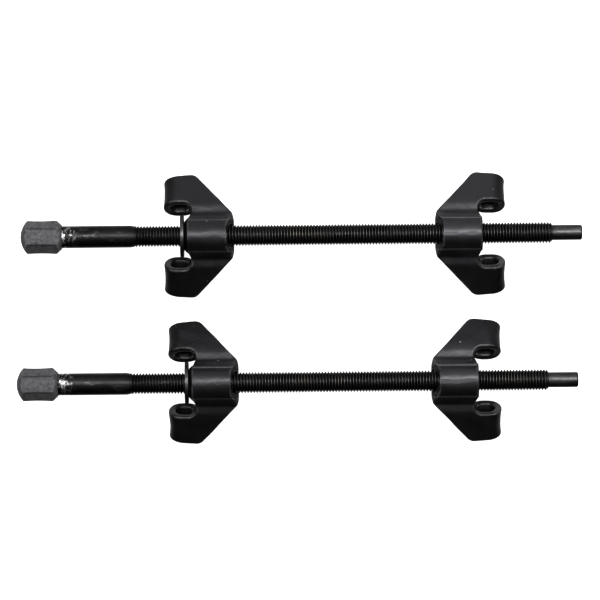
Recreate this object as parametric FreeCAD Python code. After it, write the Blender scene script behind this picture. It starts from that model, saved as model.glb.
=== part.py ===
"""Pair of two-jaw coil spring compressors lying side by side on a bench.

Each tool is a long screw with a hexagonal drive head, a loose thrust washer, a plain-bored
jaw that slides, and a threaded jaw that the screw draws towards it. Every jaw has two
swept-back wings that end in curled hooks, which hold a turn of the spring.

Row frame, in millimetres: +X from the heads to the pilots, +Y towards tool 1, +Z up.
The origin is the middle of the bottom of the bounding box.
"""
import FreeCAD, Part
import os
from math import cos, radians, sin, sqrt, tan

V = FreeCAD.Vector
X_AXIS = V(1, 0, 0)
Y_AXIS = V(0, 1, 0)
Z_AXIS = V(0, 0, 1)

# ---- the pair ----
TOOL_LENGTH = 370.0
TOOL_SPACING = 97.0
TOOL_STAGGER = 3.45
TOOLS = (1, 2)

# ---- screw, measured from the tip of its head ----
THREAD_RADIUS = 7.0
THREAD_PITCH = 2.0
THREAD_DEPTH = 1.227
THREAD_FLAT = 0.25
SHANK_RADIUS = 7.25
PILOT_RADIUS = 5.0
PILOT_LENGTH = 20.0
PILOT_CHAMFER = 0.8
THREAD_START = 74.0
THREAD_END = TOOL_LENGTH - PILOT_LENGTH
THREAD_LEAD_IN = 0.4
SPIGOT_RADIUS = 5.5
SPIGOT_START = 9.0

# ---- hexagonal drive head ----
HEX_ACROSS_FLATS = 19.0
HEX_DOME_RISE = 4.5
HEX_CONE_START = 24.0
HEX_CONE_END = 27.3
HEX_CONE_RADIUS = 7.85

# ---- thrust washer ----
WASHER_RADIUS = 14.0
WASHER_BORE_RADIUS = 7.5
WASHER_THICKNESS = 2.5
WASHER_CHAMFER = 0.3
WASHER_START = {1: 105.3, 2: 110.9}

# ---- jaws: u runs out along the screw from the inner end of the boss, v along a wing
# from its root to its tip, and w out of the front of the wing ----
THREADED_JAW_FACE = 273.4
SLIDING_JAW_FACE = {1: 140.7, 2: 146.3}
THREADED_BORE_RADIUS = 7.08
SLIDING_BORE_RADIUS = 7.5
BOSS_RADIUS = 11.5
BOSS_LENGTH = 31.0
BOSS_EDGE_ROUND = 1.2
SLIDING_BOSS_LENGTH = 32.8
SLIDING_BOSS_CHAMFER = 2.2
CROWN_SETBACK = 5.0
CROWN_LOW_Z = 8.3
SLOPE_LOW_Z = -2.2
MOUTH_CHAMFER = 0.8
WING_SWEEP_DEG = 31.7
WING_ROOT_Y = 10.6
WING_ROOT_Z = 3.0
WING_INSIDE = 3.0
WING_SPAN = 36.2
PLATE_THICKNESS = 4.5
HOOK_OUTER_RADIUS = 9.1
HOOK_INNER_RADIUS = HOOK_OUTER_RADIUS - PLATE_THICKNESS
HOOK_CENTRE_U = 37.6
HOOK_FINGER_V = 14.3
LIP_CENTRE_U = 34.5
LIP_BEND_DEG = 38.0
NOTCH_U = 28.3
NOTCH_INNER_V = 6.0
NOTCH_START_V = -0.5
NOTCH_FINGER_ROUND = 5.5
NOTCH_BOSS_ROUND = 3.4
PLATE_EDGE_ROUND = 1.2
WING_BASE_ROUND = 8.0
WING_TIP_ROUND = 6.5
ROOT_FILLET = 3.2
INNER_EDGE_V = 4.7
TIP_EDGE_U = 25.9
SHARP_EDGE_DEG = 30.0
BURIED_MARGIN = 0.02

# the wing's lowest corner, after its edge is rounded, sets the height of the screw
SWEEP = radians(WING_SWEEP_DEG)
TIP_DROP = WING_SPAN * sin(SWEEP) + 2 * HOOK_OUTER_RADIUS * cos(SWEEP)
CORNER_LOSS = PLATE_EDGE_ROUND * (sqrt(2) * cos(radians(45) - SWEEP) - 1)
SCREW_HEIGHT = TIP_DROP - CORNER_LOSS - WING_ROOT_Z


def tool_origin(tool):
    """The tip of a tool's head, on the axis of its screw."""
    side = 1 if tool == 1 else -1
    x = -TOOL_LENGTH / 2 + side * TOOL_STAGGER / 2
    return V(x, side * TOOL_SPACING / 2, SCREW_HEIGHT)


def turned(points):
    """A solid of revolution about X, from (x, radius) points of its closed half profile."""
    corners = [V(x, 0, radius) for x, radius in points]
    face = Part.Face(Part.makePolygon(corners + corners[:1]))
    return face.revolve(V(0, 0, 0), X_AXIS, 360)


def rounded_outline(corners):
    """A closed wire in the XY plane from (x, y, radius) corners, each rounded by an arc."""
    points = [V(x, y, 0) for x, y, _ in corners]
    spans = []
    for i, (_, _, radius) in enumerate(corners):
        here = points[i]
        back = (points[i - 1] - here).normalize()
        ahead = (points[(i + 1) % len(points)] - here).normalize()
        half = back.getAngle(ahead) / 2
        run = radius / tan(half)
        middle = here + (back + ahead).normalize() * (radius / sin(half) - radius)
        spans.append((here + back * run, middle, here + ahead * run, radius))
    edges = []
    for i, (start, middle, end, radius) in enumerate(spans):
        if radius > 0:
            edges.append(Part.Arc(start, middle, end).toShape())
        edges.append(Part.LineSegment(end, spans[(i + 1) % len(spans)][0]).toShape())
    return Part.Wire(edges)


def forcing_screw():
    """The screw: head spigot, plain shank, thread as rings of the real section, and pilot."""
    points = [(SPIGOT_START, 0), (SPIGOT_START, SPIGOT_RADIUS)]
    points += [(HEX_CONE_END, SPIGOT_RADIUS), (HEX_CONE_END, SHANK_RADIUS)]
    points += [(THREAD_START - THREAD_LEAD_IN, SHANK_RADIUS), (THREAD_START, THREAD_RADIUS)]
    root = THREAD_RADIUS - THREAD_DEPTH
    half_mouth = (THREAD_PITCH - THREAD_FLAT) / 2
    grooves = int((THREAD_END - THREAD_START) / THREAD_PITCH)
    for i in range(grooves):
        middle = THREAD_START + (i + 0.5) * THREAD_PITCH
        points += [(middle - half_mouth, THREAD_RADIUS), (middle - THREAD_FLAT / 2, root)]
        points += [(middle + THREAD_FLAT / 2, root), (middle + half_mouth, THREAD_RADIUS)]
    points += [(THREAD_END, THREAD_RADIUS - THREAD_LEAD_IN), (THREAD_END, PILOT_RADIUS)]
    points += [(TOOL_LENGTH - PILOT_CHAMFER, PILOT_RADIUS)]
    points += [(TOOL_LENGTH, PILOT_RADIUS - PILOT_CHAMFER), (TOOL_LENGTH, 0)]
    return turned(points)


def hex_head():
    """The long hexagonal drive head, domed at its tip and coned down to the shank."""
    corner_radius = HEX_ACROSS_FLATS / 2 / cos(radians(30))
    corners = []
    for i in range(7):
        angle = radians(60 * i)
        corners.append(V(0, corner_radius * cos(angle), corner_radius * sin(angle)))
    bar = Part.Face(Part.makePolygon(corners)).extrude(V(HEX_CONE_END, 0, 0))
    dome_radius = (corner_radius ** 2 + HEX_DOME_RISE ** 2) / (2 * HEX_DOME_RISE)
    dome = Part.makeSphere(dome_radius, V(dome_radius, 0, 0))
    dome = dome.fuse(Part.makeCylinder(dome_radius, HEX_CONE_END, V(dome_radius, 0, 0), X_AXIS))
    clear_radius = corner_radius + 1
    cone = turned([
        (0, 0),
        (0, clear_radius),
        (HEX_CONE_START, clear_radius),
        (HEX_CONE_START, corner_radius),
        (HEX_CONE_END, HEX_CONE_RADIUS),
        (HEX_CONE_END, 0),
    ])
    socket = Part.makeCylinder(SPIGOT_RADIUS, TOOL_LENGTH, V(SPIGOT_START, 0, 0), X_AXIS)
    return bar.common(dome).common(cone).cut(socket)


def thrust_washer():
    """A flat washer, loose on the screw."""
    c = WASHER_CHAMFER
    far = WASHER_THICKNESS
    return turned([
        (0, WASHER_BORE_RADIUS + c),
        (0, WASHER_RADIUS - c),
        (c, WASHER_RADIUS),
        (far - c, WASHER_RADIUS),
        (far, WASHER_RADIUS - c),
        (far, WASHER_BORE_RADIUS + c),
        (far - c, WASHER_BORE_RADIUS),
        (c, WASHER_BORE_RADIUS),
    ])


def arc_about(u, radius, start_deg, end_deg):
    """An arc in the XZ plane about a centre at the curl's depth, from one angle to another."""
    points = []
    for angle in (start_deg, (start_deg + end_deg) / 2, end_deg):
        turn = radians(angle)
        points.append(V(u + radius * cos(turn), 0, radius * sin(turn) - HOOK_OUTER_RADIUS))
    return Part.Arc(*points).toShape()


def hook_section():
    """The section of a wing, in the XZ plane: flat plate, curl, and lip bent back up."""
    lip_end = -90 - LIP_BEND_DEG
    curl = arc_about(HOOK_CENTRE_U, HOOK_OUTER_RADIUS, 90, -90)
    lip_back = arc_about(LIP_CENTRE_U, HOOK_OUTER_RADIUS, -90, lip_end)
    lip_front = arc_about(LIP_CENTRE_U, HOOK_INNER_RADIUS, lip_end, -90)
    curl_inside = arc_about(HOOK_CENTRE_U, HOOK_INNER_RADIUS, -90, 90)
    outer = lip_back.Vertexes[1].Point
    inner = lip_front.Vertexes[0].Point
    beyond = V(sin(radians(lip_end)), 0, -cos(radians(lip_end))) * (PLATE_THICKNESS / 2)
    lip_tip = Part.Arc(outer, (outer + inner) / 2 + beyond, inner).toShape()
    start = V(-1, 0, 0)
    start_back = V(-1, 0, -PLATE_THICKNESS)
    pieces = [curl, lip_back, lip_tip, lip_front, curl_inside]
    joins = [
        (start, V(HOOK_CENTRE_U, 0, 0)),
        (V(HOOK_CENTRE_U, 0, -2 * HOOK_OUTER_RADIUS), V(LIP_CENTRE_U, 0, -2 * HOOK_OUTER_RADIUS)),
        (lip_front.Vertexes[1].Point, curl_inside.Vertexes[0].Point),
        (V(HOOK_CENTRE_U, 0, -PLATE_THICKNESS), start_back),
        (start_back, start),
    ]
    pieces += [Part.LineSegment(one, other).toShape() for one, other in joins]
    return Part.Face(Part.Wire(Part.__sortEdges__(pieces)))


def wing_outline():
    """The outline of a wing seen square to its plate, as a prism in the wing's own frame."""
    beyond = HOOK_CENTRE_U + HOOK_OUTER_RADIUS + 5
    corners = [
        (0, -WING_INSIDE, 0),
        (0, INNER_EDGE_V, WING_BASE_ROUND),
        (TIP_EDGE_U, WING_SPAN, WING_TIP_ROUND),
        (beyond, WING_SPAN, 0),
        (beyond, HOOK_FINGER_V, 0),
        (NOTCH_U, HOOK_FINGER_V, NOTCH_FINGER_ROUND),
        (NOTCH_U, NOTCH_INNER_V, NOTCH_BOSS_ROUND),
        (BOSS_LENGTH, NOTCH_START_V, 0),
        (BOSS_LENGTH, -WING_INSIDE, 0),
    ]
    face = Part.Face(rounded_outline(corners))
    depth = 2 * HOOK_OUTER_RADIUS + 2
    prism = face.extrude(V(0, 0, depth))
    prism.translate(V(0, 0, 1 - depth))
    return prism


def boss_centre():
    """The screw's axis in the wing's own frame."""
    v = WING_ROOT_Z * sin(SWEEP) - WING_ROOT_Y * cos(SWEEP)
    w = -WING_ROOT_Y * sin(SWEEP) - WING_ROOT_Z * cos(SWEEP)
    return V(0, v, w)


def root_web(surface_w, side):
    """The concave web where the plate's front (side 1) or back (side -1) meets the boss."""
    axis = boss_centre()
    centre_w = surface_w + side * ROOT_FILLET
    reach = BOSS_RADIUS + ROOT_FILLET
    centre = V(0, axis.y + sqrt(reach ** 2 - (centre_w - axis.z) ** 2), centre_w)
    on_boss = axis + (centre - axis) * (BOSS_RADIUS / reach)
    on_plate = V(0, centre.y, surface_w)
    toward = ((on_boss - centre).normalize() + (on_plate - centre).normalize()).normalize()
    inside = V(0, -WING_INSIDE, surface_w)
    edges = [
        Part.Arc(on_plate, centre + toward * ROOT_FILLET, on_boss).toShape(),
        Part.LineSegment(on_boss, inside).toShape(),
        Part.LineSegment(inside, on_plate).toShape(),
    ]
    return Part.Face(Part.Wire(edges)).extrude(V(BOSS_LENGTH, 0, 0))


def face_normal(face, point):
    """A face's outward normal at a point on its border."""
    u, v = face.Surface.parameter(point)
    return face.normalAt(u, v)


def with_rounded_edges(blank):
    """A wing with its sharp edges rounded, apart from those buried in the boss."""
    sharp = []
    for edge in blank.Edges:
        middle = edge.valueAt((edge.FirstParameter + edge.LastParameter) / 2)
        across = middle - boss_centre()
        if sqrt(across.y ** 2 + across.z ** 2) < BOSS_RADIUS + BURIED_MARGIN:
            continue
        one, other = blank.ancestorsOfType(edge, Part.Face)
        if face_normal(one, middle).getAngle(face_normal(other, middle)) > radians(SHARP_EDGE_DEG):
            sharp.append(edge)
    return blank.makeFillet(PLATE_EDGE_ROUND, sharp)


def wing():
    """One wing with its curled hook, on the +Y side of the boss."""
    hook = hook_section().extrude(V(0, WING_SPAN - HOOK_FINGER_V, 0))
    hook.translate(V(0, HOOK_FINGER_V, 0))
    plate_size = (HOOK_CENTRE_U, WING_SPAN + WING_INSIDE, PLATE_THICKNESS)
    plate = Part.makeBox(*plate_size, V(-1, -WING_INSIDE, -PLATE_THICKNESS))
    webs = [root_web(0, 1), root_web(-PLATE_THICKNESS, -1)]
    blank = plate.fuse([hook] + webs).removeSplitter().common(wing_outline()).removeSplitter()
    blank = with_rounded_edges(blank)
    blank.rotate(V(0, 0, 0), X_AXIS, -WING_SWEEP_DEG)
    blank.translate(V(0, WING_ROOT_Y, WING_ROOT_Z))
    return blank


def boss(length):
    """The round boss of a jaw, its outer end rounded, or coned where it meets the washer."""
    body = Part.makeCylinder(BOSS_RADIUS, length, V(0, 0, 0), X_AXIS)
    rim = [e for e in body.Edges if e.Closed and e.BoundBox.XMin > length / 2]
    if length > BOSS_LENGTH:
        return body.makeChamfer(SLIDING_BOSS_CHAMFER, rim)
    return body.makeFillet(BOSS_EDGE_ROUND, rim)


def crown_slope():
    """What is cut from a jaw's inner end, so that it leans back towards the crown."""
    top = BOSS_RADIUS + 2
    lean = [V(-1, 0, SLOPE_LOW_Z), V(0, 0, SLOPE_LOW_Z), V(CROWN_SETBACK, 0, CROWN_LOW_Z)]
    lean += [V(CROWN_SETBACK, 0, top), V(-1, 0, top)]
    slope = Part.Face(Part.makePolygon(lean + lean[:1])).extrude(V(0, 4 * BOSS_RADIUS, 0))
    slope.translate(V(0, -2 * BOSS_RADIUS, 0))
    return slope


def jaw(bore_radius, length):
    """A jaw with its screw axis on X: two mirrored wings, the boss, and a bore."""
    one = wing()
    other = one.mirror(V(0, 0, 0), Y_AXIS)
    body = boss(length).fuse([one, other]).removeSplitter().cut(crown_slope())
    bore = Part.makeCylinder(bore_radius, length + 2, V(-1, 0, 0), X_AXIS)
    relief = bore_radius + MOUTH_CHAMFER
    mouth = Part.makeCone(relief, bore_radius, MOUTH_CHAMFER, V(length, 0, 0), -X_AXIS)
    return body.cut(bore.fuse(mouth))


def placed(shape, tool, x, facing_back=False):
    """A copy of a shape at a distance x from the tool's head tip, turned about if asked."""
    moved = shape.copy()
    if facing_back:
        moved.rotate(V(0, 0, 0), Z_AXIS, 180)
    moved.translate(tool_origin(tool) + V(x, 0, 0))
    return moved


os.makedirs("parts", exist_ok=True)
screw_shape = forcing_screw()
head_shape = hex_head()
washer_shape = thrust_washer()
threaded_shape = jaw(THREADED_BORE_RADIUS, BOSS_LENGTH)
sliding_shape = jaw(SLIDING_BORE_RADIUS, SLIDING_BOSS_LENGTH)
for tool in TOOLS:
    nodes = {
        "forcing_screw": placed(screw_shape, tool, 0),
        "hex_head": placed(head_shape, tool, 0),
        "thrust_washer": placed(washer_shape, tool, WASHER_START[tool]),
        "sliding_jaw": placed(sliding_shape, tool, SLIDING_JAW_FACE[tool], facing_back=True),
        "threaded_jaw": placed(threaded_shape, tool, THREADED_JAW_FACE),
    }
    for name, shape in nodes.items():
        shape.exportStep(f"parts/{name}_{tool}.step")
        print(name, tool, "solids", len(shape.Solids), "volume", round(shape.Volume, 1))
print("screw axis height", round(SCREW_HEIGHT, 4))
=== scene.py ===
"""Looks for the pair of coil spring compressors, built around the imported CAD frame."""
from math import cos, pi, radians, sin, sqrt

import bmesh
import bpy
import numpy as np
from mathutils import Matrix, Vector

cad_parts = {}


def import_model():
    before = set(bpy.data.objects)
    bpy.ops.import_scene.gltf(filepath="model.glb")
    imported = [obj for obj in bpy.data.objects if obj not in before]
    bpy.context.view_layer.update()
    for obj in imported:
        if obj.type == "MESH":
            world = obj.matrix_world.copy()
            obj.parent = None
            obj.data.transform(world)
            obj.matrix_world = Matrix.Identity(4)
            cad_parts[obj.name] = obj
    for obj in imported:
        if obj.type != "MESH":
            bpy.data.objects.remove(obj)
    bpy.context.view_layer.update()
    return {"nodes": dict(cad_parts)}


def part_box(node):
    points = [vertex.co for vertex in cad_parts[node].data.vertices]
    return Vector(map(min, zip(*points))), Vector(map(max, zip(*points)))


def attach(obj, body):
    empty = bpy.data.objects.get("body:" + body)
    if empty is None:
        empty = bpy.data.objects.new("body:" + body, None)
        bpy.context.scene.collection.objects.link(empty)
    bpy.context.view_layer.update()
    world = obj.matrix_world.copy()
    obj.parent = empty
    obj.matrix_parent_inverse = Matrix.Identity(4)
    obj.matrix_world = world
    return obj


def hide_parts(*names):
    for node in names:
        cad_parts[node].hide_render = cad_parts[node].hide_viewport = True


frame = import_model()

MM = 0.001
TOOLS = (1, 2)


# ---------------------------------------------------------------- places, from the frame

def corners(node):
    """A node's lowest and highest corners as numpy arrays."""
    low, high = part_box(node)
    return np.array(low), np.array(high)


def screw_axis(tool):
    """(y, z) of a tool's screw axis."""
    low, high = corners(f"forcing_screw_{tool}")
    return (low[1] + high[1]) / 2, (low[2] + high[2]) / 2


# ---------------------------------------------------------------- mesh helpers

def new_piece(name, mesh, body, nodes, material):
    """A finished object that rides on a body and stands for CAD nodes."""
    piece = bpy.data.objects.new(name, mesh)
    bpy.context.scene.collection.objects.link(piece)
    mesh.materials.clear()
    mesh.materials.append(material)
    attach(piece, body)
    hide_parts(*nodes)
    return piece


def mesh_from(vertices, faces, name):
    """A smooth-shaded mesh with doubled points merged and its normals turned outwards."""
    merge, degenerate = 0.0005 * MM, 0.0002 * MM
    shape = bmesh.new()
    points = [shape.verts.new(v) for v in vertices]
    for face in faces:
        ring = []
        for index in face:
            if points[index] not in ring:
                ring.append(points[index])
        if len(ring) > 2:
            shape.faces.new(ring)
    bmesh.ops.remove_doubles(shape, verts=shape.verts, dist=merge)
    bmesh.ops.dissolve_degenerate(shape, edges=shape.edges, dist=degenerate)
    bmesh.ops.recalc_face_normals(shape, faces=shape.faces)
    mesh = bpy.data.meshes.new(name)
    shape.to_mesh(mesh)
    shape.free()
    mesh.polygons.foreach_set("use_smooth", [True] * len(mesh.polygons))
    return mesh


def remeshed(node, voxel, name):
    """A copy of a CAD node's mesh on an even grid."""
    source = frame["nodes"][node]
    rough = bpy.data.objects.new(name + "_rough", source.data.copy())
    bpy.context.scene.collection.objects.link(rough)
    grid = rough.modifiers.new("grid", "REMESH")
    grid.mode = "VOXEL"
    grid.voxel_size = voxel
    graph = bpy.context.evaluated_depsgraph_get()
    mesh = bpy.data.meshes.new_from_object(rough.evaluated_get(graph))
    mesh.name = name
    bpy.data.objects.remove(rough)
    mesh.polygons.foreach_set("use_smooth", [True] * len(mesh.polygons))
    return mesh


def get_points(mesh):
    """A mesh's points, one row each."""
    flat = np.empty(3 * len(mesh.vertices))
    mesh.vertices.foreach_get("co", flat)
    return flat.reshape(-1, 3)


def set_points(mesh, points):
    mesh.vertices.foreach_set("co", points.ravel())
    mesh.update()


def get_normals(mesh):
    """The normals at a mesh's points, one row each."""
    flat = np.empty(3 * len(mesh.vertices))
    mesh.vertices.foreach_get("normal", flat)
    return flat.reshape(-1, 3)


class Neighbours:
    """Averages over the points that each point of a mesh shares an edge with."""

    def __init__(self, mesh):
        ends = np.empty(2 * len(mesh.edges), dtype=np.int64)
        mesh.edges.foreach_get("vertices", ends)
        one, other = ends.reshape(-1, 2).T
        self.here = np.concatenate([one, other])
        self.there = np.concatenate([other, one])
        self.total = len(mesh.vertices)
        self.count = np.maximum(np.bincount(self.here, minlength=self.total), 1)

    def mean(self, values):
        """The mean of the neighbours' values; values has one row or one number per point."""
        if values.ndim == 1:
            return np.bincount(self.here, values[self.there], self.total) / self.count
        return np.stack([self.mean(column) for column in values.T], axis=1)


def smoothed(points, near, rounds, shrink=0.5, swell=-0.52):
    """Points with their roughness smoothed away; the swelling step keeps their size."""
    for _ in range(rounds):
        points = points + shrink * (near.mean(points) - points)
        points = points + swell * (near.mean(points) - points)
    return points


def waves(points, longest, shortest, seed, count=22):
    """A smooth random field with values of about -1 to 1, as a sum of plane waves."""
    chance = np.random.default_rng(seed)
    field = np.zeros(len(points))
    for _ in range(count):
        way = chance.normal(size=3)
        way /= np.linalg.norm(way)
        length = chance.uniform(shortest, longest)
        field += np.sin(points @ way * (2 * pi / length) + chance.uniform(0, 2 * pi))
    return field / np.sqrt(count)


def smoothstep(low, high, values):
    """0 below low, 1 above high and a soft rise between them."""
    t = np.clip((values - low) / (high - low), 0, 1)
    return t * t * (3 - 2 * t)


def set_value(mesh, name, values):
    """A number per point, which a material can read by name."""
    layer = mesh.attributes.new(name, "FLOAT", "POINT")
    layer.data.foreach_set("value", np.asarray(values, dtype=np.float32))


def set_curvature(mesh, near, scale):
    """Stores how sharply each point stands out (edge) or lies sunk in a hollow (painted_shade, the mask
    for shade painted into hollows).
    """
    points = get_points(mesh)
    normals = get_normals(mesh)
    bend = np.einsum("ij,ij->i", points - near.mean(points), normals) / scale
    for _ in range(3):
        bend = 0.4 * bend + 0.6 * near.mean(bend)
    set_value(mesh, "edge", np.clip(bend, 0, 1))
    set_value(mesh, "painted_shade", np.clip(-bend, 0, 1))


# ---------------------------------------------------------------- screw

TOOL_LENGTH = 370.0 * MM
HEX_CONE_END = 27.3 * MM
THREAD_FROM = 74.0 * MM
THREAD_TO = 350.0 * MM
PITCH = 2.0 * MM
MAJOR_RADIUS = 7.0 * MM
RUN_IN = 1.6 * PITCH
THREAD_LAST_RADIUS = 5.75 * MM
THREAD_CHAMFER_RADIUS = 5.9 * MM
SCREW_AROUND = 48
SCUFFS_LENGTH = 13 * MM
CREST_FROM_RADIUS = 6.7 * MM
# crest lightening: partly burnished wear, partly a painted highlight along each thread crest
CREST_WEAR_AND_HIGHLIGHT = 0.9
CREST_WEAR_AND_HIGHLIGHT_LENGTH = 45 * MM
# outlines in millimetres, each point as (distance along the screw, radius)
SPIGOT_END = [(0, 0.0), (0, 5.5)]
SHOULDER = [(0, 5.5), (0, 7.1), (0.3, 7.25)]
SHANK = [(x, 7.25) for x in range(29, 73, 2)]
SHANK_END = [(-1.2, 7.25), (-0.7, 7.1)]
THREAD_TURN = [
    (-0.13, 6.95), (0.0, 7.0), (0.13, 6.95), (0.26, 6.74),
    (0.78, 5.93), (1.0, 5.80), (1.22, 5.93), (1.74, 6.74),
]
PILOT = [(0.02, 5.3), (0.4, 5.0), (5, 5.0), (10, 5.0), (15, 5.0)]
PILOT_END = [(-1.0, 5.0), (-0.7, 4.92), (-0.15, 4.4), (0, 4.1), (0, 0.0)]


def placed(start, outline):
    """An outline moved along the screw to start, in metres."""
    return [(start + x * MM, radius * MM) for x, radius in outline]


def screw_mesh(tool):
    """Shank, right-hand helical thread and pilot, as one closed skin."""
    low, high = corners(f"forcing_screw_{tool}")
    y, z = screw_axis(tool)
    end = high[0]
    tip = end - TOOL_LENGTH
    begin = tip + THREAD_FROM
    finish = tip + THREAD_TO
    before = placed(low[0], SPIGOT_END) + placed(tip + HEX_CONE_END, SHOULDER)
    before += placed(tip, SHANK) + placed(begin, SHANK_END)
    after = placed(finish, PILOT) + placed(end, PILOT_END)
    turns = round((finish - begin) / PITCH)
    section = placed(0.0, THREAD_TURN)
    per_turn = len(section)
    columns = []
    for a in range(SCREW_AROUND):
        angle = 2 * pi * a / SCREW_AROUND
        column = list(before)
        for turn in range(-1, turns + 1):
            for along, radius in section:
                x = begin + PITCH * (turn + a / SCREW_AROUND) + along
                fade = min(1.0, max(0.0, (x - begin) / RUN_IN))
                radius = MAJOR_RADIUS - (MAJOR_RADIUS - radius) * fade
                radius = min(radius, THREAD_CHAMFER_RADIUS + max(0.0, finish - x))
                if x <= begin:
                    x, radius = begin, MAJOR_RADIUS
                if x >= finish:
                    x, radius = finish, THREAD_LAST_RADIUS
                column.append((x, radius))
        column += after
        columns.append([(x, y - r * sin(angle), z + r * cos(angle)) for x, r in column])
    length = len(columns[0])
    first, last = len(before), length - len(after) - 1
    vertices = [point for column in columns for point in column]
    faces = []
    for a in range(SCREW_AROUND):
        for i in range(length - 1):
            here, there = a * length, ((a + 1) % SCREW_AROUND) * length
            j, k = i, i + 1
            if a == SCREW_AROUND - 1:
                j = j if j < first or j > last else min(j + per_turn, last)
                k = k if k < first or k > last else min(k + per_turn, last)
            faces.append((here + i, here + i + 1, there + k, there + j))
    mesh = mesh_from(vertices, faces, f"screw_mesh_{tool}")
    points = get_points(mesh)
    along = points[:, 0] - tip
    radius = np.hypot(points[:, 1] - y, points[:, 2] - z)
    set_value(mesh, "pilot", smoothstep(THREAD_TO - 0.5 * MM, THREAD_TO + 0.5 * MM, along))
    set_value(mesh, "scuffed", 1 - smoothstep(HEX_CONE_END, HEX_CONE_END + SCUFFS_LENGTH, along))
    # the crests lighten from the start of the thread onwards: partly burnished wear, partly a painted
    # highlight on each crest
    rubbed = CREST_WEAR_AND_HIGHLIGHT * smoothstep(THREAD_FROM, THREAD_FROM + CREST_WEAR_AND_HIGHLIGHT_LENGTH, along) ** 0.5
    set_value(mesh, "crest_wear_and_highlight", smoothstep(CREST_FROM_RADIUS, MAJOR_RADIUS, radius) * rubbed)
    return mesh


# ---------------------------------------------------------------- jaws

# u runs outwards along the screw from the boss's inner end, v along a wing towards its tip
JAW_VOXEL = 0.4 * MM
BOSS_RADIUS = 11.5 * MM
SWEEP = radians(31.7)
WING_ROOT = (10.6 * MM, 3.0 * MM)
FINGER_V = 14.3 * MM
TIP_V = 36.2 * MM
EDGE_ROUNDS = 6
LAST_ROUNDS = 2
CURL_HOLLOW = 0.7 * MM
HOLLOW_U = (30 * MM, 46.7 * MM)
HOLLOW_V = (8 * MM, 12 * MM)
CURL_TAPER = 1.5 * MM
TAPER_U = (22 * MM, 46 * MM)
TAPER_V = (24 * MM, 37 * MM)
# the bend starts beside the crown, and leaves the underside of the boss alone
BEND_FROM = (9.1 * MM, 9.7 * MM)
BEND_ABOVE = (-7.5 * MM, -4.0 * MM)
BEND_BEYOND = (12.5 * MM, 15 * MM)
BORE_SPARED = (8.6 * MM, 10.2 * MM)
# how steeply a jaw's front falls away: (distance from the screw's axis in millimetres, degrees)
WING_FALL = [
    (9.6, 56), (9.85, 34), (10.15, 14), (10.85, 15), (11.2, 36), (11.8, 57), (14.2, 60), (15.0, 51),
    (15.75, 28), (16.4, 16), (18.5, 14.5), (19.8, 17), (21.0, 27), (22.6, 34), (25.0, 37), (42.0, 37.3),
]
FALL_STEP = 0.02
# where the CAD's front is read, in u and across the screw
FRONT_U = (7 * MM, 20 * MM)
FRONT_ACROSS = 8.9 * MM
FRONT_PLAIN = (15 * MM, 30 * MM)
FRONT_BLEND = (14 * MM, 16.5 * MM)
FRONT_BIN = 0.25 * MM
# the forged surface's waves: (height in millimetres, longest, shortest)
SWELLS = (0.09, 26 * MM, 9 * MM)
RIPPLES = (0.016, 5 * MM, 1.8 * MM)
RIPPLE_COUNT = 30
SWELL_LIFT = 0.03
BOX_MARGIN = 0.005 * MM
JAW_CURVATURE = 0.016 * MM


def wing_front(across):
    """The height of a jaw's front over the screw's axis, at some distances from that axis."""
    places, fall = np.array(WING_FALL).T
    steps = np.arange(places[0], places[-1], FALL_STEP)
    slopes = np.tan(np.radians(np.interp(steps, places, fall)))
    start = sqrt(BOSS_RADIUS ** 2 - (places[0] * MM) ** 2)
    height = start - np.cumsum(slopes) * FALL_STEP * MM
    return np.interp(across, steps * MM, height)


def flat_front(across, height, upwards, chosen):
    """The same for the CAD mesh, read from the points on the plain middle of its wings."""
    front = chosen & (upwards > 0.3) & (across > FRONT_ACROSS)
    bins = np.round(across[front] / FRONT_BIN).astype(int)
    total = np.bincount(bins, height[front])
    count = np.bincount(bins)
    used = count > 8
    places = np.arange(len(count))[used] * FRONT_BIN
    near_root = np.interp(across, places, total[used] / count[used])
    plain = front & (across > FRONT_PLAIN[0]) & (across < FRONT_PLAIN[1])
    slope, level = np.polyfit(across[plain], height[plain], 1)
    share = smoothstep(*FRONT_BLEND, across)
    return near_root * (1 - share) + (slope * across + level) * share


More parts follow.
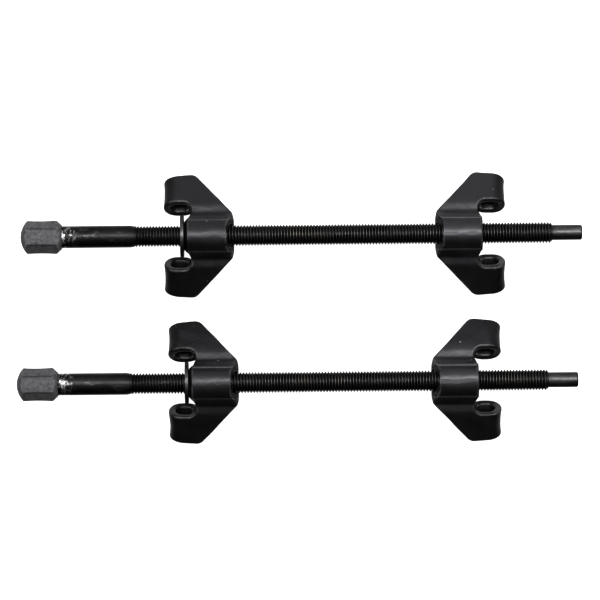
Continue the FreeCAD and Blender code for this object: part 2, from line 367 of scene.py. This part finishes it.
def jaw_mesh(kind, tool):
    """A jaw with soft forged edges, bent wings, hollow-backed curls and an uneven surface."""
    node = f"{kind}_jaw_{tool}"
    mesh = remeshed(node, JAW_VOXEL, node + "_mesh")
    near = Neighbours(mesh)
    points = smoothed(get_points(mesh), near, EDGE_ROUNDS)
    set_points(mesh, points)
    low, high = corners(node)
    y, z = screw_axis(tool)
    out = 1 if kind == "threaded" else -1
    inner_end = low[0] if out > 0 else high[0]
    u = (points[:, 0] - inner_end) * out
    across = np.abs(points[:, 1] - y)
    height = points[:, 2] - z
    v = (across - WING_ROOT[0]) * cos(SWEEP) - (height - WING_ROOT[1]) * sin(SWEEP)
    radius = np.hypot(across, height)
    middle = (FINGER_V + TIP_V) / 2
    t = np.clip((v - middle) / ((TIP_V - FINGER_V) / 2), -1, 1)
    hollow = CURL_HOLLOW * (1 - t * t) * smoothstep(*HOLLOW_U, u) * smoothstep(*HOLLOW_V, v)
    chosen = (u > FRONT_U[0]) & (u < FRONT_U[1])
    flat = flat_front(across, height, get_normals(mesh)[:, 2], chosen)
    rise = (wing_front(across) - flat) * smoothstep(*BEND_FROM, across)
    rise *= np.maximum(smoothstep(*BEND_ABOVE, height), smoothstep(*BEND_BEYOND, across))
    inwards = CURL_TAPER * smoothstep(*TAPER_U, u) * smoothstep(*TAPER_V, v)
    side = np.sign(points[:, 1] - y)
    points[:, 0] -= out * hollow
    points[:, 1] -= side * inwards * cos(SWEEP)
    points[:, 2] += rise + inwards * sin(SWEEP)
    points = smoothed(points, near, LAST_ROUNDS)
    set_points(mesh, points)
    normals = get_normals(mesh)
    seed = 10 * tool + (kind == "sliding")
    push = SWELLS[0] * waves(points, *SWELLS[1:], seed) + SWELL_LIFT
    push += RIPPLES[0] * waves(points, *RIPPLES[1:], seed + 100, RIPPLE_COUNT)
    push *= smoothstep(*BORE_SPARED, radius)
    points = points + normals * push[:, None] * MM
    set_points(mesh, np.clip(points, low + BOX_MARGIN, high - BOX_MARGIN))
    set_curvature(mesh, near, JAW_CURVATURE)
    return mesh


# ---------------------------------------------------------------- drive head

HEX_FLAT = 9.5 * MM
HEX_CORNER = 10.96 * MM
HEX_DOME_RISE = 4.5 * MM
HEX_DOME_END = HEX_DOME_RISE * 1.6
HEX_CONE_START = 24.0 * MM
HEX_CONE_RADIUS = 7.85 * MM
HEX_SOCKET = (5.55 * MM, 9.0 * MM)
HEX_AROUND = 144
HEX_SOFTNESS = 0.06 * MM
HEX_WAIST = 0.3 * MM
HEX_WAIST_MIDDLE = 13.5 * MM
HEX_WAIST_REACH = 9 * MM
HEX_EDGE_WEAR = 0.30 * MM
# width of the painted shade line along each hex corner
HEX_CORNER_SHADE_WIDTH = 0.45 * MM
# rows of points along the head in millimetres: (from, to, how many)
HEX_ROWS = [(0.01, 5, 22), (5.5, 23, 30), (23.3, 27.3, 15)]
KEY_GRID = 0.01 * MM


def key(point):
    """A point's place on a fine grid, by which merged points are found again."""
    return tuple(round(c / KEY_GRID) for c in point)


def softer_least(one, other):
    """The lesser of two arrays, rounded off where they cross."""
    return -HEX_SOFTNESS * np.logaddexp(-one / HEX_SOFTNESS, -other / HEX_SOFTNESS)


def drive_head_mesh(tool):
    """A crisp hexagon with a domed tip and a cone behind, worn along its edges, with painted shade
    lines along its corners.
    """
    low, high = corners(f"hex_head_{tool}")
    y, z = screw_axis(tool)
    along = np.concatenate([np.linspace(*row) for row in HEX_ROWS]) * MM
    angles = np.arange(HEX_AROUND) * 2 * pi / HEX_AROUND
    from_flat = angles % (pi / 3) - pi / 6
    to_corner = (HEX_FLAT / np.cos(from_flat) - HEX_FLAT) / (HEX_CORNER - HEX_FLAT)
    waist = HEX_WAIST * np.clip(1 - ((along - HEX_WAIST_MIDDLE) / HEX_WAIST_REACH) ** 2, 0, 1)
    flat = np.minimum(HEX_FLAT / np.cos(from_flat), HEX_CORNER) - waist[:, None] * to_corner ** 2
    dome_radius = (HEX_CORNER ** 2 + HEX_DOME_RISE ** 2) / (2 * HEX_DOME_RISE)
    depth = np.minimum(along, HEX_DOME_END)
    dome = np.sqrt(dome_radius ** 2 - (dome_radius - depth) ** 2)[:, None] + 0 * flat
    slope = (HEX_CONE_RADIUS - HEX_CORNER) / (HEX_CONE_END - HEX_CONE_START)
    cone = (HEX_CORNER + slope * (along - HEX_CONE_START))[:, None] + 0 * flat
    ends = np.minimum(dome, cone)
    radius = softer_least(flat, ends)
    edge = np.exp(-np.abs(flat - ends) / HEX_EDGE_WEAR)
    # painted shade: dark lines along the hexagon's corners, where the rounded corners look dark
    corner = np.exp(-(pi / 6 - np.abs(from_flat)) * HEX_FLAT / HEX_CORNER_SHADE_WIDTH) * (flat < ends)
    socket_radius, socket_end = HEX_SOCKET
    columns, worn, dark = [], [], []
    for a, angle in enumerate(angles):
        column = [(0.0, 0.0)] + list(zip(along, radius[:, a]))
        column += [(along[-1], socket_radius), (socket_end, socket_radius), (socket_end, 0.0)]
        columns.append([(low[0] + x, y + r * cos(angle), z + r * sin(angle)) for x, r in column])
        worn.append(np.concatenate([[0], edge[:, a], [0, 0, 0]]))
        dark.append(np.concatenate([[0], corner[:, a], [0, 0, 0]]))
    length = len(columns[0])
    vertices = [point for column in columns for point in column]
    faces = []
    for a in range(HEX_AROUND):
        here, there = a * length, ((a + 1) % HEX_AROUND) * length
        faces += [(here + i, here + i + 1, there + i + 1, there + i) for i in range(length - 1)]
    mesh = mesh_from(vertices, faces, f"drive_head_mesh_{tool}")
    keys = [key(point) for point in get_points(mesh)]
    for name, values in (("edge", worn), ("painted_shade", dark)):
        known = {}
        for point, value in zip(vertices, np.concatenate(values)):
            known[key(point)] = value
        set_value(mesh, name, [known.get(k, 0.0) for k in keys])
    return mesh


# ---------------------------------------------------------------- materials

def principled(name):
    """A material with its node tree and its shader."""
    material = bpy.data.materials.new(name)
    material.use_nodes = True
    tree = material.node_tree
    return material, tree, tree.nodes["Principled BSDF"]


def object_noise(tree, scale, detail=6.0, roughness=0.6, stretch=(1, 1, 1)):
    """Noise fixed to the object, in units of 1 / metre."""
    place = tree.nodes.new("ShaderNodeTexCoord")
    mapping = tree.nodes.new("ShaderNodeMapping")
    mapping.inputs["Scale"].default_value = stretch
    tree.links.new(place.outputs["Object"], mapping.inputs["Vector"])
    grain = tree.nodes.new("ShaderNodeTexNoise")
    grain.inputs["Scale"].default_value = scale
    grain.inputs["Detail"].default_value = detail
    grain.inputs["Roughness"].default_value = roughness
    tree.links.new(mapping.outputs["Vector"], grain.inputs["Vector"])
    return grain.outputs["Fac"]


def full_colour(colour):
    """A colour with its alpha, from a colour or from one number for a grey."""
    if isinstance(colour, (int, float)):
        colour = (colour, colour, colour)
    return (*colour, 1.0)


def ramp(tree, value, stops):
    """A colour ramp from (position, colour) stops; a colour can be one number."""
    node = tree.nodes.new("ShaderNodeValToRGB")
    elements = node.color_ramp.elements
    while len(elements) < len(stops):
        elements.new(0.5)
    for element, (position, colour) in zip(elements, stops):
        element.position = position
        element.color = full_colour(colour)
    tree.links.new(value, node.inputs["Fac"])
    return node.outputs["Color"]


def stored(tree, name):
    """A value stored on the mesh's points."""
    node = tree.nodes.new("ShaderNodeAttribute")
    node.attribute_name = name
    return node.outputs["Fac"]


def maths(tree, operation, one, other, clamp=False):
    """The result of a sum on two numbers or outputs."""
    node = tree.nodes.new("ShaderNodeMath")
    node.operation = operation
    node.use_clamp = clamp
    for socket, value in zip(node.inputs, (one, other)):
        if isinstance(value, (int, float)):
            socket.default_value = value
        else:
            tree.links.new(value, socket)
    return node.outputs["Value"]


def mixed(tree, share, one, other):
    """A blend from one to other; each is a colour, a number or an output."""
    colour_a, colour_b, colour_out = 6, 7, 2
    node = tree.nodes.new("ShaderNodeMix")
    node.data_type = "RGBA"
    tree.links.new(share, node.inputs["Factor"])
    for socket, value in ((node.inputs[colour_a], one), (node.inputs[colour_b], other)):
        if isinstance(value, (int, float, tuple)):
            socket.default_value = full_colour(value)
        else:
            tree.links.new(value, socket)
    return node.outputs[colour_out]


def bump(tree, shader, height, strength, distance):
    """Fine relief on a shader, from a pattern between 0 and 1."""
    node = tree.nodes.new("ShaderNodeBump")
    node.inputs["Strength"].default_value = strength
    node.inputs["Distance"].default_value = distance
    tree.links.new(height, node.inputs["Height"])
    tree.links.new(node.outputs["Normal"], shader.inputs["Normal"])


COAT_TONES = ((0.0020, 0.0020, 0.0024), (0.0052, 0.0050, 0.0056))
COAT_SHEEN = (1.0, 0.99, 1.05, 1.0)
# tone of the rubbed edges: partly real wear, partly a painted highlight along the rounded edges
COAT_RUB_AND_EDGE_HIGHLIGHT = 0.05
# tone of the bright specks: nicks in the coating, partly painted glints on the boss
COAT_NICK_AND_GLINT = 0.30
COAT_ROUGHNESS = (0.27, 0.43)


def forging_material(name, gloss):
    """Satin black coating on a forging: faint mottling, rubbed edges lightened partly as a painted
    highlight, and a few bright nick specks that are partly painted glints.
    """
    material, tree, shader = principled(name)
    shader.inputs["Metallic"].default_value = 0.0
    shader.inputs["IOR"].default_value = gloss
    shader.inputs["Specular Tint"].default_value = COAT_SHEEN
    patches = object_noise(tree, 70, 5)
    grain = object_noise(tree, 900, 5, 0.7)
    body = ramp(tree, patches, [(0.3, COAT_TONES[0]), (0.7, COAT_TONES[1])])
    # rubbed edges: real wear, lightened further as a painted highlight on the rounded edges
    sharp = ramp(tree, stored(tree, "edge"), [(0.5, 0.0), (0.95, 1.0)])
    uneven = ramp(tree, object_noise(tree, 140, 4), [(0.42, 0.0), (0.62, 0.8)])
    rub = maths(tree, "MULTIPLY", sharp, uneven)
    body = mixed(tree, rub, body, COAT_RUB_AND_EDGE_HIGHLIGHT)
    # bright specks: partly nicks in the coating, partly painted glints standing in for sparkle on the
    # uneven surface
    nicks_and_glints = ramp(tree, object_noise(tree, 420, 2, 0.5), [(0.77, 0.0), (0.80, 1.0)])
    body = mixed(tree, nicks_and_glints, body, COAT_NICK_AND_GLINT)
    tree.links.new(body, shader.inputs["Base Color"])
    smears = object_noise(tree, 160, 7, 0.65)
    dull = ramp(tree, smears, [(0.25, COAT_ROUGHNESS[0]), (0.75, COAT_ROUGHNESS[1])])
    tree.links.new(dull, shader.inputs["Roughness"])
    bump(tree, shader, grain, 0.3, 0.03 * MM)
    return material


OXIDE_TONES = (0.016, 0.027)
# crest tone: burnished steel, lighter still as a painted highlight on the crests
OXIDE_CREST_WEAR_AND_HIGHLIGHT = (0.150, 0.147, 0.145)
OXIDE_WORN = (0.26, 0.22, 0.17)
OXIDE_ROUGHNESS = (0.31, 0.43)
PILOT_TONES = (0.050, 0.085)
SCUFF_TONE = 0.45
MARK_TONE = 0.4


def screw_material():
    """Oiled black oxide, with a barer pilot, rubbed crests that are partly real wear and partly a
    painted highlight, and scuffs beside the head.
    """
    material, tree, shader = principled("black_oxide_steel")
    shader.inputs["Metallic"].default_value = 1.0
    drawn = object_noise(tree, 500, 6, 0.6, (0.25, 1, 1))
    patches = object_noise(tree, 120, 4)
    body = ramp(tree, patches, [(0.3, OXIDE_TONES[0]), (0.7, OXIDE_TONES[1])])
    # thread crests lightened: partly burnished wear, partly a painted highlight
    crest_wear_and_highlight = maths(tree, "MULTIPLY", stored(tree, "crest_wear_and_highlight"), 0.85)
    body = mixed(tree, crest_wear_and_highlight, body, OXIDE_CREST_WEAR_AND_HIGHLIGHT)
    handled = ramp(tree, object_noise(tree, 45, 3), [(0.55, 0.0), (0.75, 0.8)])
    worn = maths(tree, "MULTIPLY", stored(tree, "crest_wear_and_highlight"), handled)
    body = mixed(tree, worn, body, OXIDE_WORN)
    bare = ramp(tree, drawn, [(0.3, PILOT_TONES[0]), (0.7, PILOT_TONES[1])])
    body = mixed(tree, stored(tree, "pilot"), body, bare)
    flecks = object_noise(tree, 330, 6, 0.7, (1.6, 1, 1))
    scuffs = ramp(tree, flecks, [(0.515, 0.0), (0.575, 1.0)])
    scuffs = maths(tree, "MULTIPLY", scuffs, stored(tree, "scuffed"))
    body = mixed(tree, scuffs, body, SCUFF_TONE)
    streaks = object_noise(tree, 210, 7, 0.72, (0.5, 1, 1))
    marks = ramp(tree, streaks, [(0.56, 0.0), (0.64, 0.10)])
    body = mixed(tree, marks, body, MARK_TONE)
    tree.links.new(body, shader.inputs["Base Color"])
    dull = ramp(tree, drawn, [(0.3, OXIDE_ROUGHNESS[0]), (0.7, OXIDE_ROUGHNESS[1])])
    tree.links.new(dull, shader.inputs["Roughness"])
    bump(tree, shader, drawn, 0.3, 0.02 * MM)
    return material


STEEL_IOR = 1.35


def steel_material(name, metal, tones, dull, scale, bump_mm, tint=(1, 1, 1)):
    """Mottled dark steel with painted shade in its hollows and along the hex corners, and rubbed edges.
    """
    material, tree, shader = principled(name)
    shader.inputs["Metallic"].default_value = metal
    shader.inputs["IOR"].default_value = STEEL_IOR
    grain = object_noise(tree, scale, 8, 0.72)
    low, high = (tuple(tone * t for t in tint) for tone in tones)
    body = ramp(tree, grain, [(0.32, low), (0.68, high)])
    uneven = ramp(tree, grain, [(0.47, 0.0), (0.60, 0.9)])
    rub = maths(tree, "MULTIPLY", stored(tree, "edge"), uneven, clamp=True)
    # painted shade: hollows and the hex's corner lines darkened in the base colour
    body = mixed(tree, stored(tree, "painted_shade"), body, tones[0] * 0.3)
    body = mixed(tree, rub, body, tones[1] * 1.7)
    tree.links.new(body, shader.inputs["Base Color"])
    roughness = ramp(tree, grain, [(0.3, dull[1]), (0.7, dull[0])])
    tree.links.new(roughness, shader.inputs["Roughness"])
    bump(tree, shader, object_noise(tree, scale * 3, 4), 0.5, bump_mm * MM)
    return material


FORGING = {
    "sliding": forging_material("black_forging_dull", 1.45),
    "threaded": forging_material("black_forging", 1.55),
}
OXIDE = screw_material()
HEX_STEEL = steel_material(
    "bare_steel", metal=0.06, tones=(0.026, 0.092), dull=(0.42, 0.58), scale=420, bump_mm=0.07,
    tint=(0.99, 0.98, 1.04),
)
WASHER_STEEL = steel_material(
    "washer_steel", metal=1.0, tones=(0.035, 0.085), dull=(0.28, 0.42), scale=400, bump_mm=0.02,
)


# ---------------------------------------------------------------- pieces

WASHER_VOXEL = 0.2 * MM
WASHER_ROUNDS = 3
WASHER_CURVATURE = 0.02 * MM


def washer_mesh(tool):
    """An evenly meshed washer with slightly softened edges."""
    node = f"thrust_washer_{tool}"
    mesh = remeshed(node, WASHER_VOXEL, node + "_mesh")
    near = Neighbours(mesh)
    low, high = corners(node)
    set_points(mesh, np.clip(smoothed(get_points(mesh), near, WASHER_ROUNDS), low, high))
    set_curvature(mesh, near, WASHER_CURVATURE)
    return mesh


for tool in TOOLS:
    new_piece(
        f"helical_screw_{tool}", screw_mesh(tool),
        f"screw_{tool}", [f"forcing_screw_{tool}"], OXIDE,
    )
    new_piece(
        f"drive_head_{tool}", drive_head_mesh(tool),
        f"screw_{tool}", [f"hex_head_{tool}"], HEX_STEEL,
    )
    new_piece(
        f"flat_washer_{tool}", washer_mesh(tool),
        f"thrust_washer_{tool}", [f"thrust_washer_{tool}"], WASHER_STEEL,
    )
    for kind in ("sliding", "threaded"):
        new_piece(
            f"forged_{kind}_jaw_{tool}", jaw_mesh(kind, tool),
            f"{kind}_jaw_{tool}", [f"{kind}_jaw_{tool}"], FORGING[kind],
        )


# ---------------------------------------------------------------- floor, light, camera

FLOOR_SIZE = 6.0
FLOOR_GREY = 0.35


def floor():
    """A plain white floor that stays white in the tools' shade and isn't mirrored in them."""
    bpy.ops.mesh.primitive_plane_add(size=FLOOR_SIZE, location=(0, 0, 0))
    plane = bpy.context.object
    plane.name = "floor"
    material, tree, shader = principled("floor_white")
    shader.inputs["Base Color"].default_value = full_colour(FLOOR_GREY)
    shader.inputs["Roughness"].default_value = 1.0
    shader.inputs["Emission Color"].default_value = (1, 1, 1, 1)
    shader.inputs["Emission Strength"].default_value = 1.0
    plane.data.materials.append(material)
    plane.visible_glossy = False


LIGHT_TARGET = (0, 0, 0.03)


def soft_light(name, place, size, watts):
    """A rectangular soft light at place that faces the tools."""
    data = bpy.data.lights.new(name, "AREA")
    data.shape = "RECTANGLE"
    data.size, data.size_y = size
    data.energy = watts
    light = bpy.data.objects.new(name, data)
    light.location = place
    light.rotation_euler = (Vector(LIGHT_TARGET) - Vector(place)).to_track_quat("-Z", "Y").to_euler()
    bpy.context.scene.collection.objects.link(light)


# the studio's brightness by direction: (degrees from straight up towards +Y, brightness)
SKY = [
    (-180, 1.0), (-150, 0.9), (-136, 0.45), (-122, 0.06), (-95, 0.02), (-78, 0.05),
    (-60, 0.12), (-42, 0.3), (-26, 0.6), (-8, 1.3), (6, 1.65), (28, 2.0),
    (50, 1.65), (75, 1.25), (95, 0.9), (115, 0.85), (140, 1.2), (180, 1.0),
]
SKY_PEAK = 2.0
# towards the tools' ends the studio dims to this share, between two values of |x|
SKY_AT_ENDS = 0.25
SKY_DIMS = (0.15, 0.85)


def world():
    """A studio that is bright overhead and on the +Y side, and dark on the -Y side."""
    surroundings = bpy.data.worlds.new("studio")
    surroundings.use_nodes = True
    tree = surroundings.node_tree
    back = tree.nodes["Background"]
    place = tree.nodes.new("ShaderNodeTexCoord")
    split = tree.nodes.new("ShaderNodeSeparateXYZ")
    tree.links.new(place.outputs["Generated"], split.inputs["Vector"])
    lean = maths(tree, "ARCTAN2", split.outputs["Y"], split.outputs["Z"])
    lean = maths(tree, "MULTIPLY", lean, 1 / (2 * pi))
    lean = maths(tree, "ADD", lean, 0.5)
    stops = [(0.5 + degrees_up / 360, level / SKY_PEAK) for degrees_up, level in SKY]
    ends = maths(tree, "ABSOLUTE", split.outputs["X"], 0)
    dimmed = ramp(tree, ends, [(SKY_DIMS[0], SKY_PEAK), (SKY_DIMS[1], SKY_PEAK * SKY_AT_ENDS)])
    tree.links.new(dimmed, back.inputs["Strength"])
    tree.links.new(ramp(tree, lean, stops), back.inputs["Color"])
    bpy.context.scene.world = surroundings


FIELD = 395.4 * MM
SENSOR_WIDTH = 36.0
CAMERA_DISTANCE = 3.0
CAMERA_ROLL = radians(-0.55)
CAMERA_CENTRE = (0.5 * MM, 5.6 * MM)


def camera():
    """Looks straight down on the tools, which lean by half a degree in the frame."""
    data = bpy.data.cameras.new("camera")
    data.sensor_width = SENSOR_WIDTH
    data.lens = SENSOR_WIDTH * CAMERA_DISTANCE / FIELD
    data.clip_end = 20.0
    eye = bpy.data.objects.new("camera", data)
    height = screw_axis(1)[1] + CAMERA_DISTANCE
    eye.location = (*CAMERA_CENTRE, height)
    eye.rotation_euler = (0, 0, CAMERA_ROLL)
    bpy.context.scene.collection.objects.link(eye)
    bpy.context.scene.camera = eye


floor()
world()
soft_light("overhead_strip", (0.0, 0.42, 1.7), size=(2.2, 0.55), watts=37)
soft_light("left_box", (-1.6, 0.25, 1.35), size=(1.2, 0.5), watts=12)
soft_light("right_box", (1.6, 0.25, 1.35), size=(1.2, 0.5), watts=12)
camera()
bpy.context.scene.view_settings.view_transform = "Standard"
bpy.context.scene.view_settings.gamma = 0.8
